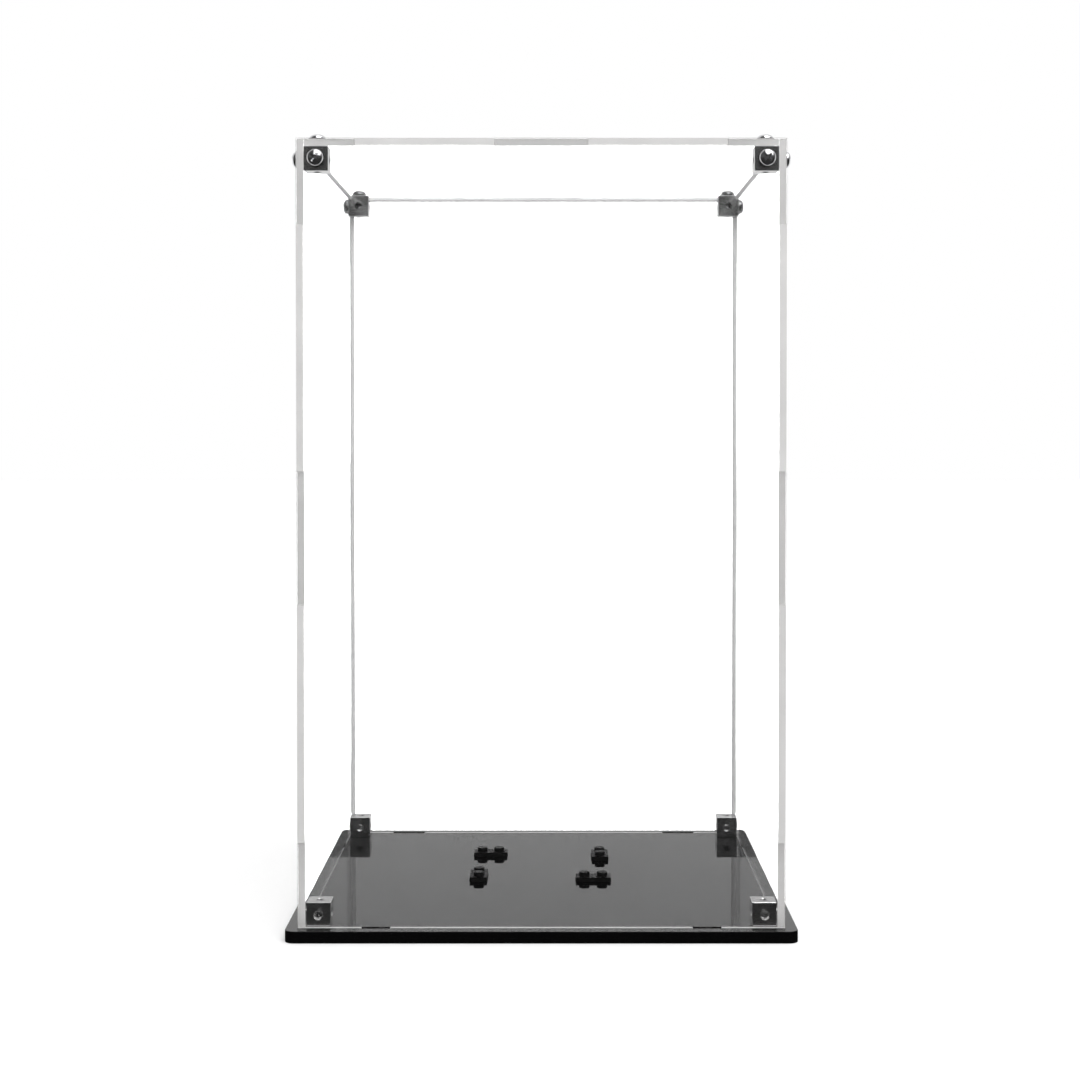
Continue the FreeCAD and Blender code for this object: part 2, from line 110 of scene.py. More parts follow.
def put(tree, kind, *plugs, **settings):
    """A new node. The plugs go to its inputs in order, and None leaves one as it is."""
    node = tree.nodes.new(kind)
    for name, value in settings.items():
        setattr(node, name, value)
    for plug, value in zip(node.inputs, plugs):
        if value is not None:
            give(tree, plug, value)
    return node


def maths(tree, how, *values, clamp=False):
    """The result of a Math node, such as ADD or MULTIPLY."""
    return put(tree, "ShaderNodeMath", *values, operation=how, use_clamp=clamp).outputs[0]


def ease(tree, value, low, high, at_low=0.0, at_high=1.0):
    """The value carried smoothly from the range low to high onto at_low to at_high."""
    node = put(tree, "ShaderNodeMapRange", value, low, high, at_low, at_high)
    node.interpolation_type = "SMOOTHSTEP"
    return node.outputs[0]


def blend(tree, share, first, second):
    """The first number where share is 0, and the second where it is 1."""
    node = tree.nodes.new("ShaderNodeMix")
    for plug, value in zip((node.inputs[0], node.inputs[2], node.inputs[3]), (share, first, second)):
        give(tree, plug, value)
    return node.outputs[0]


# %% [markdown]
# ## The room round the case
#
# Clear acrylic and chrome have hardly any colour of their own: they show the room. So the room is
# made of what they should show, drawn in the world's nodes from the direction of each ray:
#
# - a white backdrop behind the case, a little greyer higher up, where the glossy base mirrors it,
# - a white overhead panel, in front and a little to the right, for the crescents on the chrome,
# - a dim room behind the camera, darkest low down, for the dark fronts of the metal blocks.
#
# A picture wrapped round the scene would work too, but a drawn room needs no file, and each part of it
# can be moved until the metal looks right.

# %% Backdrop, overhead panel and dim front
BACKDROP = dict(low=0.155, high=0.21, at_low=1.0, at_high=0.73)
DIM_FRONT = dict(low=-0.10, high=0.14, at_low=0.03, at_high=0.075)
PANEL_FROM_HEIGHT = (0.28, 0.42)
PANEL_MIDDLE = 0.28
PANEL_HALF_WIDTH = (0.40, 0.55)
PANEL_LEVEL = 1.6
FRONT_TO_BACK = (-0.20, 0.45)
BEHIND_SHEETS = 7.0
FIRST_BOUNCE = 0.5


def straight_through(tree, path):
    """1 for a ray from the camera that has only passed through polished sheets."""
    bounced = maths(tree, "ADD", path["Glossy Depth"], path["Diffuse Depth"])
    bounced = maths(tree, "ADD", bounced, path["Transparent Depth"])
    unbounced = maths(tree, "LESS_THAN", bounced, FIRST_BOUNCE)
    return maths(tree, "MULTIPLY", unbounced, path["Is Transmission Ray"])


def overhead_panel(tree, x, z):
    aside = maths(tree, "ABSOLUTE", maths(tree, "SUBTRACT", x, PANEL_MIDDLE))
    return maths(tree, "MULTIPLY", ease(tree, z, *PANEL_FROM_HEIGHT),
                 ease(tree, aside, *PANEL_HALF_WIDTH, at_low=1.0, at_high=0.0))


def light_room():
    world = bpy.data.worlds.new("room")
    bpy.context.scene.world = world
    world.use_nodes = True
    tree = world.node_tree
    tree.nodes.clear()
    way = put(tree, "ShaderNodeTexCoord").outputs["Generated"]
    x, y, z = put(tree, "ShaderNodeSeparateXYZ", way).outputs
    front = blend(tree, overhead_panel(tree, x, z), ease(tree, z, **DIM_FRONT), PANEL_LEVEL)
    level = blend(tree, ease(tree, y, *FRONT_TO_BACK), front, ease(tree, z, **BACKDROP))
    path = tree.nodes.new("ShaderNodeLightPath").outputs
    level = blend(tree, straight_through(tree, path), level, BEHIND_SHEETS)
    level = blend(tree, path["Is Camera Ray"], level, 1.0)
    glow = put(tree, "ShaderNodeBackground", (1, 1, 1, 1), level)
    put(tree, "ShaderNodeOutputWorld", glow.outputs[0])
    return world


print("room:", len(light_room().node_tree.nodes), "nodes")

# %% [markdown]
# ## The backdrop behind clear sheets
#
# A clear sheet seen at a glancing angle passes on only a third of the light behind it, and mirrors
# the rest of the case faintly. Photographers light their backdrop well past white, so that it stays
# white even through such a sheet. `straight_through` above finds the rays that came through the
# sheets with no mirror or matt surface on the way, and only they see the stronger backdrop. So no
# piece gets any light from it. The camera's own rays see plain white, which is a strength of 1.
#
# ## Lamps
#
# Two large lamps add the soft direction that a studio has: one in front, which lifts the cut edges
# that face the camera, and one overhead. The front one is hidden from mirrors and from what is seen
# through the sheets, or the dark metal fronts would turn white.

# %% Lamps
LAMPS = {
    "front_lamp": dict(place=(0.0, -1.6, 0.7), size=(1.6, 1.2), watts=12, in_mirrors=False),
    "overhead_lamp": dict(place=(0.25, -0.55, 1.3), size=(0.7, 0.5), watts=5, in_mirrors=True),
}
LAMPS_AIM_AT = Vector((0, 0, 0.16))


def add_lamp(name, place, size, watts, in_mirrors):
    data = bpy.data.lights.new(name, "AREA")
    data.shape = "RECTANGLE"
    data.size, data.size_y = size
    data.energy = watts
    lamp = bpy.data.objects.new(name, data)
    lamp.location = place
    lamp.rotation_euler = (LAMPS_AIM_AT - lamp.location).to_track_quat("-Z", "Y").to_euler()
    lamp.visible_camera = False
    lamp.visible_glossy = lamp.visible_transmission = in_mirrors
    bpy.context.scene.collection.objects.link(lamp)


for name, facts in LAMPS.items():
    add_lamp(name, **facts)
    print(name, facts["watts"], "W")

# %% [markdown]
# ## The floor
#
# A plain white floor keeps the soft shadow of the case and throws light back up onto it. It glows a
# little for the camera, and more with distance, so that it meets the white backdrop without a line.
# Mirrors and clear sheets look past the floor to the room: for their rays it is as white as the
# backdrop behind the case and as dim as the room in front of it. Such a glow isn't a lamp, so its
# sampling as one is turned off.

# %% Floor
FLOOR_REACH = 6.0
FLOOR_WHITE = (0.8, 0.8, 0.8, 1)
FLOOR_ROUGHNESS = 0.9
GLOW_SPREAD = dict(low=0.3, high=1.2, at_low=0.2, at_high=0.42)
FLOOR_FADE = (-0.08, 0.14)


def white_floor():
    material = bpy.data.materials.new("white_floor")
    material.use_nodes = True
    material.cycles.emission_sampling = "NONE"
    tree = material.node_tree
    path = tree.nodes.new("ShaderNodeLightPath").outputs
    paint = tree.nodes["Principled BSDF"]
    paint.inputs["Base Color"].default_value = FLOOR_WHITE
    paint.inputs["Roughness"].default_value = FLOOR_ROUGHNESS
    paint.inputs["Emission Color"].default_value = (1, 1, 1, 1)
    here = put(tree, "ShaderNodeTexCoord").outputs["Object"]
    far = put(tree, "ShaderNodeVectorMath", here, operation="LENGTH").outputs["Value"]
    glow = maths(tree, "MULTIPLY", path["Is Camera Ray"], ease(tree, far, **GLOW_SPREAD))
    give(tree, paint.inputs["Emission Strength"], glow)
    _, y, _ = put(tree, "ShaderNodeSeparateXYZ", here).outputs
    level = ease(tree, y, *FLOOR_FADE, DIM_FRONT["at_low"], BACKDROP["at_low"])
    level = blend(tree, straight_through(tree, path), level, BEHIND_SHEETS)
    room = put(tree, "ShaderNodeEmission", (1, 1, 1, 1), level)
    undiffused = maths(tree, "LESS_THAN", path["Diffuse Depth"], FIRST_BOUNCE)
    mirrored = maths(tree, "SUBTRACT", undiffused, path["Is Camera Ray"], clamp=True)
    mix = put(tree, "ShaderNodeMixShader", mirrored, paint.outputs[0], room.outputs[0])
    give(tree, tree.nodes["Material Output"].inputs[0], mix.outputs[0])
    return material


def add_floor():
    mesh = bpy.data.meshes.new("floor")
    corners = [(x * FLOOR_REACH, y * FLOOR_REACH, 0) for x, y in ((-1, -1), (1, -1), (1, 1), (-1, 1))]
    mesh.from_pydata(corners, [], [(0, 1, 2, 3)])
    mesh.materials.append(white_floor())
    floor = bpy.data.objects.new("floor", mesh)
    bpy.context.scene.collection.objects.link(floor)
    return floor


print("floor:", add_floor().dimensions.x, "m wide")

# %% [markdown]
# ## Recipes for materials
#
# Every finish starts from Blender's Principled shader. A number that is the same all over is set on
# the shader's own socket. What varies comes from noise on Object coordinates, which are metres here, so
# a noise of scale 1000 has grains about a millimetre across. Stretching the point first, with unequal
# scales, draws the grains out into lines.

# %% Material helpers
MOST_NOISE = (0.3, 0.7)


def new_material(name, colour=(1, 1, 1), **values):
    """A material whose Principled shader has these plain values. Returns it, its tree and its shader."""
    material = bpy.data.materials.new(name)
    material.use_nodes = True
    shader = material.node_tree.nodes["Principled BSDF"]
    shader.inputs["Base Color"].default_value = (*colour, 1)
    for plug, value in values.items():
        shader.inputs[plug.replace("_", " ")].default_value = value
    return material, material.node_tree, shader


def grain(tree, per_metre, detail=3.0):
    """A noise from 0 to 1 in the object's own space. per_metre is one number, or one for each axis."""
    scale = Vector(per_metre) if isinstance(per_metre, tuple) else Vector((per_metre,) * 3)
    here = put(tree, "ShaderNodeTexCoord").outputs["Object"]
    point = put(tree, "ShaderNodeMapping", here, None, None, scale).outputs[0]
    return put(tree, "ShaderNodeTexNoise", point, None, 1.0, detail).outputs[0]


def tint(tree, share, first, second):
    """A colour between the first, where share is 0, and the second, where it is 1."""
    node = put(tree, "ShaderNodeMix", data_type="RGBA")
    give(tree, node.inputs[0], share)
    node.inputs[6].default_value = (*first, 1)
    node.inputs[7].default_value = (*second, 1)
    return node.outputs[2]


def vary(tree, shader, plug, noise, low, high):
    """Lets the noise carry one of the shader's values between low and high."""
    give(tree, shader.inputs[plug], ease(tree, noise, *MOST_NOISE, low, high))


def relief(tree, shader, noise, height, strength):
    """Raises the surface by the noise, height metres at most, for the light alone."""
    bump = put(tree, "ShaderNodeBump", strength, height)
    give(tree, bump.inputs["Height"], noise)
    give(tree, shader.inputs["Normal"], bump.outputs[0])


# %% See-through share
def let_through(material, share, colour):
    """Mixes a share of plain see-through colour into the finished shader."""
    tree = material.node_tree
    open_air = put(tree, "ShaderNodeBsdfTransparent", colour).outputs[0]
    solid = tree.nodes["Principled BSDF"].outputs[0]
    mix = put(tree, "ShaderNodeMixShader", share, solid, open_air)
    give(tree, tree.nodes["Material Output"].inputs[0], mix.outputs[0])


# %% [markdown]
# ## Clear sheets
#
# The cover's sheets are cast acrylic, 3 mm thick. Their broad faces are polished like glass, with an
# index of refraction of 1.49, and carry only the faintest smears from handling. Real refraction is
# kept, because it draws the bright and grey lines along the corners. Light has to get in and out of
# the case without the noise of true caustics, so for shadow rays alone the sheet is plainly transparent.

# %% Polished acrylic
ACRYLIC_IOR = 1.49
SMEARS_PER_METRE = 22
SMEARED_ABOVE = (0.45, 0.65)
SMEAR_COLOUR = (0.988, 0.988, 0.988)
CLEAR = (1, 1, 1, 1)


def polished_acrylic():
    material, tree, shader = new_material(
        "polished_acrylic", Roughness=0.0, IOR=ACRYLIC_IOR, Transmission_Weight=1.0)
    smears = ease(tree, grain(tree, SMEARS_PER_METRE), *SMEARED_ABOVE)
    give(tree, shader.inputs["Base Color"], tint(tree, smears, CLEAR[:3], SMEAR_COLOUR))
    let_through(material, tree.nodes.new("ShaderNodeLightPath").outputs["Is Shadow Ray"], CLEAR)
    return material


polished = polished_acrylic()
print(polished.name, "bends light by", ACRYLIC_IOR)

# %% [markdown]
# ## Laser-cut edges
#
# A laser cuts each sheet from face to face, so it leaves fine lines across the thickness, about seven
# to a millimetre. They frost the edge, which gathers light from inside the sheet and glows pale grey.
# The screws inside still show through it dimly. The recipe is a pale rough plastic with stretched noise
# for the lines. It is a little see-through for the eye, but frost passes most of the light that falls
# on it. So shadow rays, and rays that have already left a matt surface, mostly go through.

# %% Cut-edge recipe
LASER_LINES_PER_METRE = 7000
ALONG_LINE_PER_METRE = 250
PATCHES_PER_METRE = 60
EDGE_SEE_THROUGH = 0.10
EDGE_LETS_LIGHT_IN = 0.9
INSIDE_EDGE = (0.92, 0.92, 0.92, 1)
FROST_COLOURS = ((0.54, 0.535, 0.533), (0.67, 0.665, 0.66))
FROST_ROUGHNESS = (0.28, 0.50)
LASER_LINE_DEPTH = 0.02 * MM


def laser_cut(axis):
    """The edge of a sheet whose thickness lies along that axis."""
    material, tree, shader = new_material(f"laser_cut_edge_{axis}", IOR=ACRYLIC_IOR)
    stretch = tuple(ALONG_LINE_PER_METRE if a == axis else LASER_LINES_PER_METRE for a in "xyz")
    lines = grain(tree, stretch)
    patches = grain(tree, PATCHES_PER_METRE)
    give(tree, shader.inputs["Base Color"], tint(tree, patches, *FROST_COLOURS))
    vary(tree, shader, "Roughness", lines, *FROST_ROUGHNESS)
    relief(tree, shader, lines, LASER_LINE_DEPTH, strength=0.25)
    path = tree.nodes.new("ShaderNodeLightPath").outputs
    light = maths(tree, "MAXIMUM", path["Is Shadow Ray"], path["Diffuse Depth"], clamp=True)
    let_through(material, blend(tree, light, EDGE_SEE_THROUGH, EDGE_LETS_LIGHT_IN), INSIDE_EDGE)
    return material


cut_edges = {axis: laser_cut(axis) for axis in "xyz"}
print("edge materials:", [m.name for m in cut_edges.values()])

# %% [markdown]
# ## Clean copies of CAD shapes
#
# A CAD node's mesh is loose triangles, good for showing but poor for building on. `gather` copies it,
# welds its points and joins the triangles of each flat face into one polygon.
#
# The sheets also need air between them. In the CAD model their fingers touch exactly, and two
# surfaces in one plane confuse a renderer, which can't tell which comes first. `shrink` moves
# every face inwards by the same hair. At each point it looks for the one small step that takes it that
# far back from all the faces that meet there, which is a little least-squares problem.

# %% Copy and shrink
WELD = 0.001 * MM
FLAT_WITHIN = math.radians(0.5)
HAIR_GAP = 0.03 * MM


def gather(name, title):
    """One closed mesh from a CAD node, with its doubled points merged and flat faces cleaned."""
    shape = bmesh.new()
    shape.from_mesh(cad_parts[name].data)
    bmesh.ops.remove_doubles(shape, verts=shape.verts, dist=WELD)
    bmesh.ops.dissolve_limit(shape, angle_limit=FLAT_WITHIN, verts=shape.verts, edges=shape.edges)
    mesh = bpy.data.meshes.new(title)
    shape.to_mesh(mesh)
    shape.free()
    mesh.materials.clear()
    piece = bpy.data.objects.new(title, mesh)
    bpy.context.scene.collection.objects.link(piece)
    return piece


def shrink(mesh, gap):
    """Moves every face of the mesh inwards by gap."""
    around = [[] for _ in mesh.vertices]
    for polygon in mesh.polygons:
        for corner in polygon.vertices:
            around[corner].append(polygon.normal)
    for point, normals in zip(mesh.vertices, around):
        step = np.linalg.lstsq(np.array(normals), np.full(len(normals), -gap), rcond=None)[0]
        point.co += Vector(step)
    mesh.update()


# %% [markdown]
# ## Which face gets which finish
#
# A polygon whose normal lies along the sheet's thickness is a polished face, and the others are cut
# edges. The walls of the screw holes are cut too, but they are seen only from inside the sheet, where
# frost would hide the screws, so those small polygons stay polished.

# %% Finish the sheets
SQUARE_TO_FACE = 0.99
SMALLEST_EDGE_POLYGON = 2.0 * MM * MM


def make_sheet(name, axis):
    sheet = gather(name, name.replace("panel", "sheet"))
    mesh = sheet.data
    shrink(mesh, HAIR_GAP)
    mesh.materials.append(polished)
    mesh.materials.append(cut_edges[axis])
    across = "xyz".index(axis)
    for polygon in mesh.polygons:
        edge = abs(polygon.normal[across]) < SQUARE_TO_FACE and polygon.area > SMALLEST_EDGE_POLYGON
        polygon.material_index = int(edge)
    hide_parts(name)
    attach(sheet, "cover")
    return sum(p.material_index for p in mesh.polygons)


for name, axis in PANELS.items():
    print(name, "has", make_sheet(name, axis), "cut edges")


# %% [markdown]
# ## The black base plate
#
# The base is one thick black acrylic sheet with rounded corners, slots for the cover's tabs and a hole
# under each lower block. Its CAD shape is exact but has knife-sharp edges, and real edges are always
# broken a little, which is what draws the thin line of light round them. On a clean copy a Bevel
# modifier breaks its edges, and a Weighted Normal modifier keeps the large faces truly flat, so that
# they mirror the backdrop evenly.

# %% Broken edges
BREAK_OVER = math.radians(40)
LARGE_FACES_FIRST = 100


def break_edges(piece, width, segments=2):
    """Rounds every sharp edge by width and shades the rest smoothly."""
    for polygon in piece.data.polygons:
        polygon.use_smooth = True
    bevel = piece.modifiers.new("broken_edges", "BEVEL")
    bevel.width = width
    bevel.segments = segments
    bevel.limit_method = "ANGLE"
    bevel.angle_limit = BREAK_OVER
    even = piece.modifiers.new("even_shading", "WEIGHTED_NORMAL")
    even.weight = LARGE_FACES_FIRST


# %% [markdown]
# ## Black acrylic
#
# Cast black acrylic is a deep black with a mirror gloss. Close up there is always fine dust on it, and
# wiping leaves broad faint smears that change only the gloss. So the colour stays near black with
# pale specks, a fine haze makes the mirror image a little uneven, and a slow noise moves the roughness.
# The base is shrunk by the same hair as the sheets, so that light reaches their bottom edges.

# %% Base plate
BASE_EDGE_BREAK = 0.2 * MM
DUST_PER_METRE = 3500
DUSTY_ABOVE = (0.62, 0.80)
BLACK_COLOURS = ((0.0012, 0.0012, 0.0013), (0.004, 0.004, 0.004))
HAZE_PER_METRE = 1300
HAZE_MIRRORING = (0.44, 0.55)
WIPES_PER_METRE = (14, 30, 30)
WIPED_ROUGHNESS = (0.02, 0.05)
RIPPLES_PER_METRE = 160
RIPPLE_HEIGHT = 0.004 * MM


def black_acrylic():
    material, tree, shader = new_material("black_acrylic_gloss", IOR=ACRYLIC_IOR)
    dust = ease(tree, grain(tree, DUST_PER_METRE, detail=1.0), *DUSTY_ABOVE)
    give(tree, shader.inputs["Base Color"], tint(tree, dust, *BLACK_COLOURS))
    vary(tree, shader, "Specular IOR Level", grain(tree, HAZE_PER_METRE, detail=1.0), *HAZE_MIRRORING)
    vary(tree, shader, "Roughness", grain(tree, WIPES_PER_METRE), *WIPED_ROUGHNESS)
    relief(tree, shader, grain(tree, RIPPLES_PER_METRE), RIPPLE_HEIGHT, strength=0.1)
    return material


base_plate = gather("base_plate", "base_plate_polished")
shrink(base_plate.data, HAIR_GAP)
break_edges(base_plate, BASE_EDGE_BREAK)
base_plate.data.materials.append(black_acrylic())
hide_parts("base_plate")
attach(base_plate, "base")
print("base plate:", len(base_plate.data.polygons), "faces before its edges are broken")

# %% [markdown]
# ## Stud plates
#
# Four small plates with round studs stand on the base and hold the feet of what is displayed. They
# are moulded in black plastic: the mould gives them soft edges, a fine skin texture and a gloss much
# duller than the base's, so that they look deep black against its mirror image of the backdrop.

# %% Stud plates
STUD_EDGE_BREAK = 0.12 * MM
SKIN_PER_METRE = 5000
SKIN_HEIGHT = 0.004 * MM
FLOW_PER_METRE = 300
STUD_COLOURS = ((0.003, 0.003, 0.003), (0.008, 0.008, 0.008))
STUD_ROUGHNESS = (0.22, 0.34)
STUD_MIRRORING = 0.03


def stud_plastic():
    material, tree, shader = new_material("moulded_stud_plastic", Specular_IOR_Level=STUD_MIRRORING)
    flow = grain(tree, FLOW_PER_METRE)
    give(tree, shader.inputs["Base Color"], tint(tree, flow, *STUD_COLOURS))
    vary(tree, shader, "Roughness", flow, *STUD_ROUGHNESS)
    relief(tree, shader, grain(tree, SKIN_PER_METRE), SKIN_HEIGHT, strength=0.2)
    return material


stud_black = stud_plastic()
for name in (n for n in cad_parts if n.startswith("stud_plate")):
    plate = gather(name, name.replace("stud_plate", "studs"))
    break_edges(plate, STUD_EDGE_BREAK)
    plate.data.materials.append(stud_black)
    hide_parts(name)
    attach(plate, "base")

# %% [markdown]
# ## Trees for what repeats
#
# Eight corner blocks and sixteen screws are the same few shapes over and over. Geometry Nodes make
# each shape once, from named sizes, and stand a copy on every place. The places are the points of
# a small mesh, and an attribute called facing says which way each copy looks. Copies are only links
# to the first shape, so every tree ends by making them real and giving them their material.


# %% Geometry helpers
def new_tree(title, **sizes):
    """A geometry tree whose named inputs are sizes in metres. Returns it and its input sockets."""
    tree = bpy.data.node_groups.new(title, "GeometryNodeTree")
    tree.interface.new_socket("Geometry", in_out="INPUT", socket_type="NodeSocketGeometry")
    for name, value in sizes.items():
        label = name.replace("_", " ")
        plug = tree.interface.new_socket(label, in_out="INPUT", socket_type="NodeSocketFloat")
        plug.default_value = value
    tree.interface.new_socket("Geometry", in_out="OUTPUT", socket_type="NodeSocketGeometry")
    return tree, tree.nodes.new("NodeGroupInput").outputs


def xyz(tree, x=0.0, y=0.0, z=0.0):
    return put(tree, "ShaderNodeCombineXYZ", x, y, z).outputs[0]


def position(tree):
    """The x, y and z of each point."""
    here = tree.nodes.new("GeometryNodeInputPosition").outputs[0]
    return put(tree, "ShaderNodeSeparateXYZ", here).outputs


def moved(tree, shape, shift=None, turn=None):
    node = put(tree, "GeometryNodeTransform", shape)
    for title, value in (("Translation", shift), ("Rotation", turn)):
        if value is not None:
            give(tree, node.inputs[title], value)
    return node.outputs[0]


def joined(tree, *shapes):
    node = tree.nodes.new("GeometryNodeJoinGeometry")
    for shape in reversed(shapes):
        tree.links.new(shape, node.inputs[0])
    return node.outputs[0]


# %% Cutting and shading
CRISP_OVER = math.radians(35)


def cut_away(tree, shape, *cutters):
    """The shape less the cutters, which may cross each other."""
    node = tree.nodes.new("GeometryNodeMeshBoolean")
    node.operation = "DIFFERENCE"
    node.solver = "EXACT"
    node.inputs["Self Intersection"].default_value = True
    tree.links.new(shape, node.inputs["Mesh 1"])
    for cutter in cutters:
        tree.links.new(cutter, node.inputs["Mesh 2"])
    return node.outputs[0]


def smoothed(tree, shape):
    """Smooth shading, with a crisp line at every edge that turns by more than CRISP_OVER."""
    faces = put(tree, "GeometryNodeSetShadeSmooth", shape, domain="FACE")
    bend = tree.nodes.new("GeometryNodeInputMeshEdgeAngle").outputs[0]
    soft = maths(tree, "LESS_THAN", bend, CRISP_OVER)
    return put(tree, "GeometryNodeSetShadeSmooth", faces.outputs[0], None, soft, domain="EDGE").outputs[0]


# %% Copies on places
def onto_points(tree, points, shape, seed=None):
    """The shape at every point, with its z turned to the point's facing. A seed spins each by chance."""
    facing = put(tree, "GeometryNodeInputNamedAttribute", "facing", data_type="FLOAT_VECTOR").outputs[0]
    turn = put(tree, "FunctionNodeAlignRotationToVector", None, None, facing, axis="Z").outputs[0]
    if seed is not None:
        chance = tree.nodes.new("FunctionNodeRandomValue")
        chance.data_type = "FLOAT"
        chance.inputs[3].default_value = math.tau
        chance.inputs["Seed"].default_value = seed
        spin = put(tree, "FunctionNodeAxisAngleToRotation", (0, 0, 1), chance.outputs[1]).outputs[0]
        turn = put(tree, "FunctionNodeRotateRotation", turn, spin, rotation_space="LOCAL").outputs[0]
    copies = tree.nodes.new("GeometryNodeInstanceOnPoints")
    for title, value in (("Points", points), ("Instance", shape), ("Rotation", turn)):
        give(tree, copies.inputs[title], value)
    return copies.outputs[0]


def finish_tree(tree, shape, material):
    """Makes the copies real, dresses them and sends them out."""
    real = put(tree, "GeometryNodeRealizeInstances", shape).outputs[0]
    dressed = put(tree, "GeometryNodeSetMaterial", real, None, material)
    put(tree, "NodeGroupOutput", dressed.outputs[0])


def at_places(title, places):
    """A mesh of loose points from (point, facing) pairs."""
    mesh = bpy.data.meshes.new(title + "_places")
    mesh.from_pydata([point for point, _ in places], [], [])
    facing = mesh.attributes.new("facing", "FLOAT_VECTOR", "POINT")
    for spot, (_, way) in zip(facing.data, places):
        spot.vector = way
    return mesh


def along_lines(title, lines):
    """A mesh of loose edges from (start, end) pairs."""
    mesh = bpy.data.meshes.new(title + "_lines")
    ends = [end for line in lines for end in line]
    mesh.from_pydata(ends, [(i, i + 1) for i in range(0, len(ends), 2)], [])
    return mesh


# %% [markdown]
# ## From tree to plain mesh
#
# `grow` puts a tree on such a mesh as a modifier, sets its sizes, and takes the finished shape out as a
# plain mesh. A modifier's input is set by its socket's identifier, since two sockets may share a name.
# Then the CAD nodes that it stands for are hidden, and the piece is hung on the body that carries it. Its
# finish was already set in the tree.


# %% Grow a piece
def grow(title, mesh, tree, body, slot, replaced=(), **sizes):
    piece = bpy.data.objects.new(title, mesh)
    bpy.context.scene.collection.objects.link(piece)
    growth = piece.modifiers.new("growth", "NODES")
    growth.node_group = tree
    for plug in tree.interface.items_tree:
        size = plug.name.replace(" ", "_")
        if plug.in_out == "INPUT" and size in sizes:
            growth[plug.identifier] = sizes[size]
    view = bpy.context.evaluated_depsgraph_get()
    piece.data = bpy.data.meshes.new_from_object(piece.evaluated_get(view))
    piece.modifiers.clear()
    if replaced:
        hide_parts(*replaced)
    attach(piece, body)
    print(title, "has", len(piece.data.polygons), "faces")


# %% [markdown]
# ## Corner beads
#
# A thin pale bead closes the joints at the rear of the cover: one down each rear corner, one along the
# rear of the top and one along each of its sides. Each runs from corner block to corner block. A bead is
# only a line with a thickness, so its tree turns loose edges into curves and sweeps a small circle along
# them. The clear cement has gone a little cloudy, so each bead is a mix of pale and see-through. The rear
# ones are given a greyer colour and less see-through than those at the sides, which is painted shade.

# %% Cloudy cement
BEAD_CLOUDS_PER_METRE = 140
BEAD_ROUGHNESS = (0.25, 0.45)
BEAD_RIPPLES_PER_METRE = 1500
BEAD_RIPPLE_HEIGHT = 0.01 * MM


def cloudy_bead(title, see_through, grey, pale):
    material, tree, shader = new_material(f"cloudy_{title}", IOR=ACRYLIC_IOR)
    clouds = grain(tree, BEAD_CLOUDS_PER_METRE)
    give(tree, shader.inputs["Base Color"], tint(tree, clouds, (grey,) * 3, (pale,) * 3))
    vary(tree, shader, "Roughness", clouds, *BEAD_ROUGHNESS)
    relief(tree, shader, grain(tree, BEAD_RIPPLES_PER_METRE), BEAD_RIPPLE_HEIGHT, strength=0.2)
    let_through(material, see_through, CLEAR)
    return material


# %% Bead tree
REAR_BEAD = 2.1 * MM
SIDE_BEAD = 1.9 * MM
# The rear beads are the same cement as the side ones: their lower see-through share and greyer colours are
# painted shade.
REAR_BEAD_PAINTED_SHADE = dict(see_through=0.28, grey=0.54, pale=0.71)
SIDE_CLOUD = dict(see_through=0.50, grey=0.64, pale=0.84)
BEAD_GAP = 0.05 * MM
BEAD_SIDES = 12


def bead_tree(material):
    tree, sizes = new_tree("corner_bead", Width=REAR_BEAD)
    line = put(tree, "GeometryNodeMeshToCurve", sizes["Geometry"]).outputs[0]
    ring = put(tree, "GeometryNodeCurvePrimitiveCircle", BEAD_SIDES, mode="RADIUS")
    give(tree, ring.inputs["Radius"], maths(tree, "DIVIDE", sizes["Width"], 2.0))
    sweep = put(tree, "GeometryNodeCurveToMesh", line, ring.outputs[0])
    sweep.inputs["Fill Caps"].default_value = True
    finish_tree(tree, smoothed(tree, sweep.outputs[0]), material)
    return tree


# %% Lay the beads
def inner_corner(width):
    """Where a bead of that width lies: its middle beside the side, rear and top sheets."""
    inset = width / 2 + BEAD_GAP
    return (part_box("right_panel")[0].x - inset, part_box("back_panel")[0].y - inset,
            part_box("top_panel")[0].z - inset)


def rear_lines():
    """Both rear uprights and the rear of the top, each from block to block."""
    side, rear, top = inner_corner(REAR_BEAD)
    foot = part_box("lower_block_back_right")[1].z + BEAD_GAP
    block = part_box("upper_block_back_right")[0]
    head, across = block.z - BEAD_GAP, block.x - BEAD_GAP
    uprights = [(Vector((way * side, rear, foot)), Vector((way * side, rear, head))) for way in (-1, 1)]
    return uprights + [(Vector((-across, rear, top)), Vector((across, rear, top)))]


def side_lines():
    """The two sides of the top."""
    side, _, top = inner_corner(SIDE_BEAD)
    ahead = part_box("upper_block_back_right")[0].y - BEAD_GAP
    return [(Vector((way * side, -ahead, top)), Vector((way * side, ahead, top))) for way in (-1, 1)]


def lay_beads(title, lines, width, see_through, grey, pale):
    recipe = bead_tree(cloudy_bead(title, see_through, grey, pale))
    grow(title, along_lines(title, lines), recipe, "cover", "clear_acrylic", Width=width)


# The rear beads carry painted shade: a greyer, less see-through mix than the side beads.
lay_beads("rear_beads", rear_lines(), REAR_BEAD, **REAR_BEAD_PAINTED_SHADE)
lay_beads("side_beads", side_lines(), SIDE_BEAD, **SIDE_CLOUD)

# %% [markdown]
# ## Screw threads
#
# A thread is a ridge wound round a wall. A boolean with a wound cutter would be slow and fragile, and
# a bump would vanish from a printed part, so the ridge is laid on as real geometry: a helix swept with
# a small triangle. The triangle points inwards in a bore and outwards on a screw.

# %% Thread ridge
THREAD_PITCH = 0.5 * MM
STEPS_PER_TURN = 20
RIDGE_CORNERS = 3


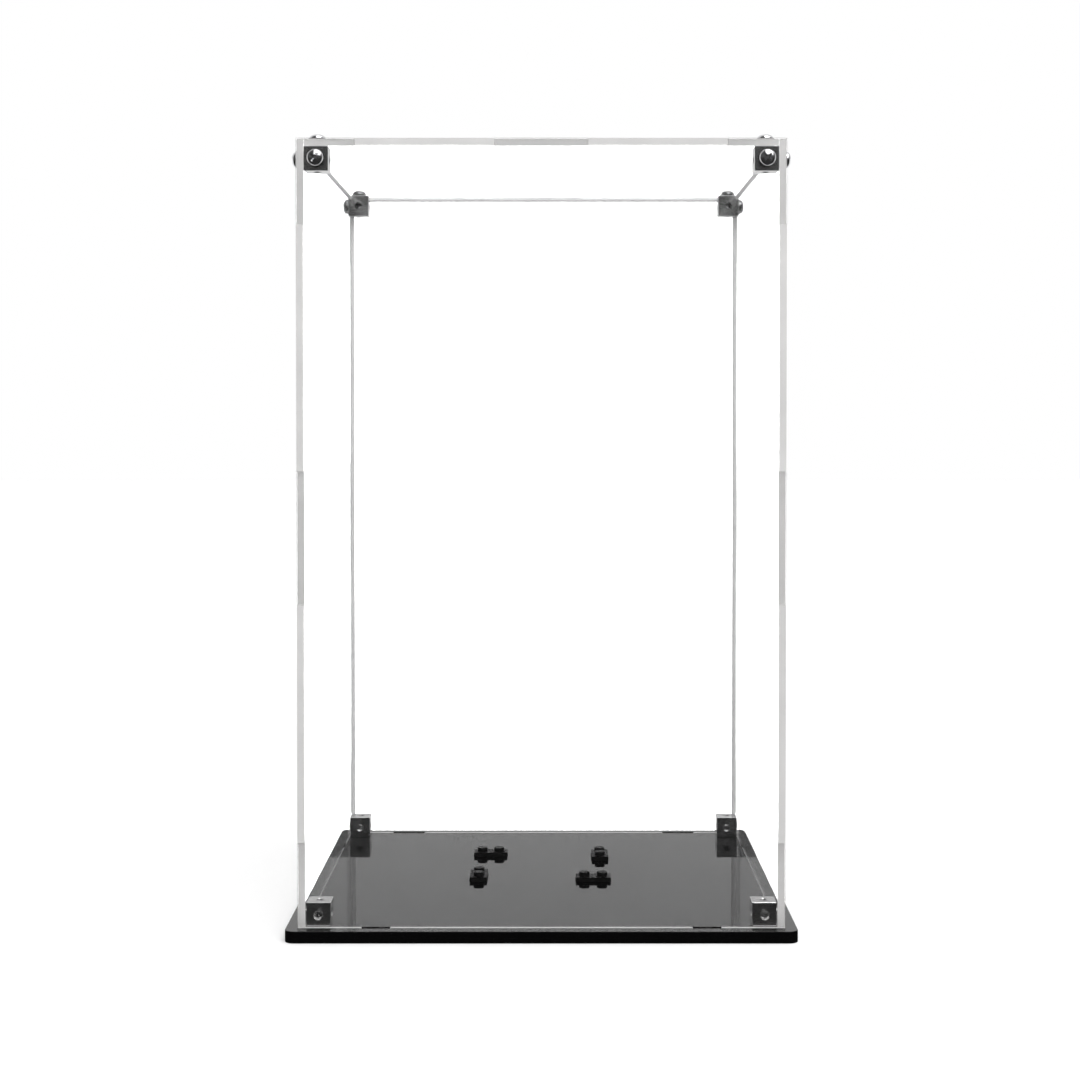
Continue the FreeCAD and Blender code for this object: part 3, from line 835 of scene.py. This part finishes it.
def thread_ridge(tree, radius, depth, length, outward):
    """A helical ridge on a wall of that radius, from z 0 to length."""
    helix = tree.nodes.new("GeometryNodeCurveSpiral")
    turns = maths(tree, "DIVIDE", length, THREAD_PITCH)
    for title, value in (("Resolution", STEPS_PER_TURN), ("Rotations", turns), ("Start Radius", radius),
                         ("End Radius", radius), ("Height", length)):
        give(tree, helix.inputs[title], value)
    upright = put(tree, "GeometryNodeSetCurveNormal", helix.outputs[0], mode="Z_UP")
    profile = tree.nodes.new("GeometryNodeCurvePrimitiveCircle")
    profile.inputs["Resolution"].default_value = RIDGE_CORNERS
    give(tree, profile.inputs["Radius"], depth)
    point = moved(tree, profile.outputs[0], None, (0, 0, math.pi if outward else 0.0))
    sweep = put(tree, "GeometryNodeCurveToMesh", upright.outputs[0], point)
    sweep.inputs["Fill Caps"].default_value = True
    return sweep.outputs[0]


# %% [markdown]
# ## Corner blocks
#
# Eight metal cubes hold the corners. Each is drilled and tapped right through along all three axes,
# so that a screw can come in from any side, and its edges are broken. The cube is the convex hull of
# three slabs, each full size along one axis and a little less along the other two, which leaves a clean
# chamfer on every edge. The bores and their countersunk mouths are cut out of it, and six short ridges
# thread them, one from each mouth, so that they don't meet in the middle.

# %% Brushed metal
BRUSH_PER_METRE = (700, 700, 6000)
BRUSHED_ROUGHNESS = (0.12, 0.20)
PITS_PER_METRE = 5200
PIT_DEPTH = 0.004 * MM
METAL_COLOURS = ((0.42, 0.42, 0.42), (0.68, 0.68, 0.68))


def brushed_metal():
    material, tree, shader = new_material("brushed_block_metal", Metallic=1.0)
    pits = grain(tree, PITS_PER_METRE, detail=2.0)
    give(tree, shader.inputs["Base Color"], tint(tree, pits, *METAL_COLOURS))
    vary(tree, shader, "Roughness", grain(tree, BRUSH_PER_METRE), *BRUSHED_ROUGHNESS)
    relief(tree, shader, pits, PIT_DEPTH, strength=0.12)
    return material


block_metal = brushed_metal()
print(block_metal.name, "has", len(block_metal.node_tree.nodes), "nodes")

# %% Block tree
BORE_SIDES = 40
OVERRUN = 1 * MM
THREE_AXES = ((0, 0, 0), (math.pi / 2, 0, 0), (0, math.pi / 2, 0))
SIX_WAYS = THREE_AXES + ((math.pi, 0, 0), (-math.pi / 2, 0, 0), (0, -math.pi / 2, 0))


def chamfered_cube(tree, size, broken):
    less = maths(tree, "SUBTRACT", size, maths(tree, "MULTIPLY", broken, 2.0))
    sides = ((size, less, less), (less, size, less), (less, less, size))
    slabs = [put(tree, "GeometryNodeMeshCube", xyz(tree, *three)).outputs[0] for three in sides]
    return put(tree, "GeometryNodeConvexHull", joined(tree, *slabs)).outputs[0]


def drill(tree, bore_radius, mouth_radius, size):
    """The cutters of one bore: a long rod and a cone at each mouth."""
    rod = put(tree, "GeometryNodeMeshCylinder", BORE_SIDES, 1, 1, bore_radius,
              maths(tree, "ADD", size, OVERRUN)).outputs[0]
    spread = maths(tree, "ADD", mouth_radius, OVERRUN)
    cone = put(tree, "GeometryNodeMeshCone", BORE_SIDES, 1, 1, 0.0, spread, spread).outputs[0]
    tip = xyz(tree, z=maths(tree, "ADD", maths(tree, "DIVIDE", size, 2.0), OVERRUN))
    mouth = moved(tree, cone, tip, (math.pi, 0, 0))
    return rod, mouth, moved(tree, mouth, None, (math.pi, 0, 0))


def block_tree():
    tree, sizes = new_tree("corner_block", Size=10 * MM, Edge_Break=0.15 * MM, Bore=3.1 * MM,
                           Mouth=3.8 * MM, Ridge=0.25 * MM)
    bore_radius = maths(tree, "DIVIDE", sizes["Bore"], 2.0)
    mouth_radius = maths(tree, "DIVIDE", sizes["Mouth"], 2.0)
    cutters = [moved(tree, tool, None, turn) for turn in THREE_AXES
               for tool in drill(tree, bore_radius, mouth_radius, sizes["Size"])]
    cube = chamfered_cube(tree, sizes["Size"], sizes["Edge Break"])
    drilled = smoothed(tree, cut_away(tree, cube, *cutters))
    start = maths(tree, "ADD", bore_radius, sizes["Ridge"])
    inset = maths(tree, "SUBTRACT", mouth_radius, bore_radius)
    reach = maths(tree, "SUBTRACT", maths(tree, "DIVIDE", sizes["Size"], 2.0), inset)
    ridge = thread_ridge(tree, bore_radius, sizes["Ridge"], maths(tree, "SUBTRACT", reach, start), False)
    lifted = moved(tree, ridge, xyz(tree, z=start))
    threads = [moved(tree, lifted, None, turn) for turn in SIX_WAYS]
    finish_tree(tree, onto_points(tree, sizes["Geometry"], joined(tree, drilled, *threads)), block_metal)
    return tree


# %% Set the blocks
def middle(node):
    low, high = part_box(node)
    return (low + high) / 2


blocks = block_tree()
for body, level in (("cover", "upper"), ("base", "lower")):
    names = [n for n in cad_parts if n.startswith(level + "_block")]
    low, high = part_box(names[0])
    title = f"{level}_corner_blocks"
    places = [(middle(n), (0, 0, 1)) for n in names]
    grow(title, at_places(title, places), blocks, body, "block_metal", names, Size=high.x - low.x)

# %% [markdown]
# ## Turning on a lathe
#
# A screw without its thread is a turned shape: an outline swung round an axis. The tree bends a flat
# grid into it. One direction of the grid becomes the angle, the other runs along the outline from the
# tip of the shank to the top of the head. Merging the points that meet closes the seam and both poles.

# %% Lathe
LATHE_AROUND = 49
LATHE_ALONG = 61


def lathe(tree, outline):
    """A closed turned shape. outline(t) gives the radius and the height for t from 0 to 1."""
    grid = put(tree, "GeometryNodeMeshGrid", 1.0, 1.0, LATHE_AROUND, LATHE_ALONG).outputs[0]
    across, along, _ = position(tree)
    angle = maths(tree, "MULTIPLY", maths(tree, "ADD", across, 0.5), math.tau)
    radius, height = outline(maths(tree, "ADD", along, 0.5))
    point = xyz(tree, maths(tree, "MULTIPLY", radius, maths(tree, "COSINE", angle)),
                maths(tree, "MULTIPLY", radius, maths(tree, "SINE", angle)), height)
    turned = put(tree, "GeometryNodeSetPosition", grid, None, point).outputs[0]
    return put(tree, "GeometryNodeMergeByDistance", turned, None, WELD).outputs[0]


def ramp(tree, t, low, high, at_low=0.0, at_high=1.0):
    """A straight line from at_low, where t is low, to at_high, where t is high."""
    return put(tree, "ShaderNodeMapRange", t, low, high, at_low, at_high).outputs[0]


# %% [markdown]
# ## Screws
#
# The cover's twelve screws have low domed heads that stand on the sheets, and the base's four have
# flat heads. Both come from one tree, with the crown as the only difference. Along the outline come
# the tip, the shank, the underside of the head, its rim and its crown. A cross recess is cut from
# two tapered blades. Nobody lines screws up, so each is spun by chance, with a fixed seed.

# %% Chrome
POLISH_PER_METRE = 900
CHROME_COLOURS = ((0.80, 0.80, 0.82), (0.92, 0.92, 0.93))
CHROME_ROUGHNESS = (0.04, 0.10)
HAIRLINES_PER_METRE = 4000
HAIRLINE_DEPTH = 0.001 * MM


def chromed_steel():
    material, tree, shader = new_material("chromed_steel", Metallic=1.0)
    polish = grain(tree, POLISH_PER_METRE)
    give(tree, shader.inputs["Base Color"], tint(tree, polish, *CHROME_COLOURS))
    vary(tree, shader, "Roughness", polish, *CHROME_ROUGHNESS)
    relief(tree, shader, grain(tree, HAIRLINES_PER_METRE), HAIRLINE_DEPTH, strength=0.2)
    return material


chrome = chromed_steel()
print(chrome.name, "has", len(chrome.node_tree.nodes), "nodes")

# %% Screw outline
TIP_END, SHANK_END, UNDERSIDE_END, RIM_END = 0.10, 0.20, 0.30, 0.35
DOMED_RIM, FLAT_RIM = 0.25, 0.07
CROWN_FULLNESS = 0.8


def head_crown(tree, t, domed):
    """How far the crown has closed, as a share of the head's radius, and risen, as a share of its rise."""
    if not domed:
        return maths(tree, "SUBTRACT", 1.0, ramp(tree, t, RIM_END, 1.0)), 0.0
    swing = ramp(tree, t, RIM_END, 1.0, 0.0, math.pi / 2)
    return maths(tree, "POWER", maths(tree, "COSINE", swing), CROWN_FULLNESS), maths(tree, "SINE", swing)


def screw_outline(tree, sizes, core, domed):
    """The outline of a screw whose head stands on z 0, as a function for the lathe."""
    wide = maths(tree, "DIVIDE", sizes["Head Width"], 2.0)

    def outline(t):
        shank = maths(tree, "MULTIPLY", core, ramp(tree, t, 0.0, TIP_END))
        spread = blend(tree, ramp(tree, t, SHANK_END, UNDERSIDE_END), shank, wide)
        closed, risen = head_crown(tree, t, domed)
        below = maths(tree, "MULTIPLY", sizes["Length"], ramp(tree, t, TIP_END, SHANK_END, -1.0, 0.0))
        if domed:
            rim = ramp(tree, t, UNDERSIDE_END, RIM_END, 0.0, DOMED_RIM)
            above = maths(tree, "ADD", rim, maths(tree, "MULTIPLY", risen, 1.0 - DOMED_RIM))
        else:
            cone = ramp(tree, t, SHANK_END, UNDERSIDE_END, 0.0, 1.0 - FLAT_RIM)
            above = maths(tree, "ADD", cone, ramp(tree, t, UNDERSIDE_END, RIM_END, 0.0, FLAT_RIM))
        height = maths(tree, "ADD", below, maths(tree, "MULTIPLY", sizes["Head Height"], above))
        return maths(tree, "MULTIPLY", spread, closed), height

    return outline


# %% Cross recess
BLADE_FOOT, BLADE_TOP = (0.3, 0.75), (1.7, 1.25)


def cross_recess(tree, sizes):
    """Two blades at right angles, wider at the top than at the foot."""
    depth = sizes["Recess Depth"]
    bar = xyz(tree, sizes["Recess Span"], sizes["Recess Slot"], maths(tree, "MULTIPLY", depth, 2.0))
    blade = put(tree, "GeometryNodeMeshCube", bar).outputs[0]
    x, y, z = position(tree)
    up = ramp(tree, z, maths(tree, "MULTIPLY", depth, -1.0), depth)
    long = maths(tree, "MULTIPLY", x, blend(tree, up, BLADE_FOOT[0], BLADE_TOP[0]))
    wide = maths(tree, "MULTIPLY", y, blend(tree, up, BLADE_FOOT[1], BLADE_TOP[1]))
    tapered = put(tree, "GeometryNodeSetPosition", blade, None, xyz(tree, long, wide, z)).outputs[0]
    raised = moved(tree, tapered, xyz(tree, z=sizes["Head Height"]))
    return raised, moved(tree, raised, None, (0, 0, math.pi / 2))


# %% Screw tree
SPIN_SEED = 7
PLAIN_NECK = 0.8 * MM


def screw_tree(title, domed):
    tree, sizes = new_tree(title, Head_Width=6.8 * MM, Head_Height=2.5 * MM, Shank=3 * MM, Length=6 * MM,
                           Ridge=0.28 * MM, Recess_Span=4.6 * MM, Recess_Slot=0.9 * MM, Recess_Depth=1.5 * MM)
    core = maths(tree, "SUBTRACT", maths(tree, "DIVIDE", sizes["Shank"], 2.0), sizes["Ridge"])
    turned = lathe(tree, screw_outline(tree, sizes, core, domed))
    head = smoothed(tree, cut_away(tree, turned, *cross_recess(tree, sizes)))
    length = maths(tree, "SUBTRACT", sizes["Length"], PLAIN_NECK)
    ridge = thread_ridge(tree, core, sizes["Ridge"], length, True)
    down = maths(tree, "SUBTRACT", PLAIN_NECK / 2, sizes["Length"])
    screw = joined(tree, head, moved(tree, ridge, xyz(tree, z=down)))
    finish_tree(tree, onto_points(tree, sizes["Geometry"], screw, seed=SPIN_SEED), chrome)
    return tree


pan_screw = screw_tree("pan_screw", domed=True)
flat_screw = screw_tree("flat_screw", domed=False)
print("screw tree:", len(pan_screw.nodes), "nodes")

# %% [markdown]
# ## Where the screws go
#
# Each upper block takes three screws: one from above, one from its side and one from its front or back.
# Each lower block takes one, from under the base. The sizes are read from the CAD: a box round a row
# of screws ends at the edge of the outermost head, and the middle of the block is its axis.


# %% Cover screws
COVER_SCREWS = ("top_screws", "front_screws", "back_screws", "left_screws", "right_screws")


def cover_screw_places():
    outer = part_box("top_panel")[1]
    places = []
    for name in (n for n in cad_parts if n.startswith("upper_block")):
        heart = middle(name)
        for axis in range(3):
            way = Vector((0, 0, 0))
            way[axis] = math.copysign(1, heart[axis])
            seat = heart.copy()
            seat[axis] = way[axis] * outer[axis]
            places.append((seat, way))
    return places


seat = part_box("top_panel")[1].z
low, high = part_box("top_screws")
grow("cover_screws", at_places("cover_screws", cover_screw_places()), pan_screw, "cover", "screw_steel",
     COVER_SCREWS, Head_Width=2 * (high.x - middle("upper_block_back_right").x), Head_Height=high.z - seat,
     Length=seat - low.z)

# %% Base screws
FLAT_HEIGHT = 1.3 * MM
FLAT_RECESS = 0.8 * MM


def base_screw_places():
    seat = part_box("base_screws")[0].z + FLAT_HEIGHT
    hearts = [middle(n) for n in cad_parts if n.startswith("lower_block")]
    return [(Vector((heart.x, heart.y, seat)), Vector((0, 0, -1))) for heart in hearts]


low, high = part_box("base_screws")
grow("base_plate_screws", at_places("base_screws", base_screw_places()), flat_screw, "base", "screw_steel",
     ("base_screws",), Head_Width=2 * (high.x - middle("lower_block_back_right").x),
     Head_Height=FLAT_HEIGHT, Length=high.z - low.z - FLAT_HEIGHT, Recess_Depth=FLAT_RECESS)
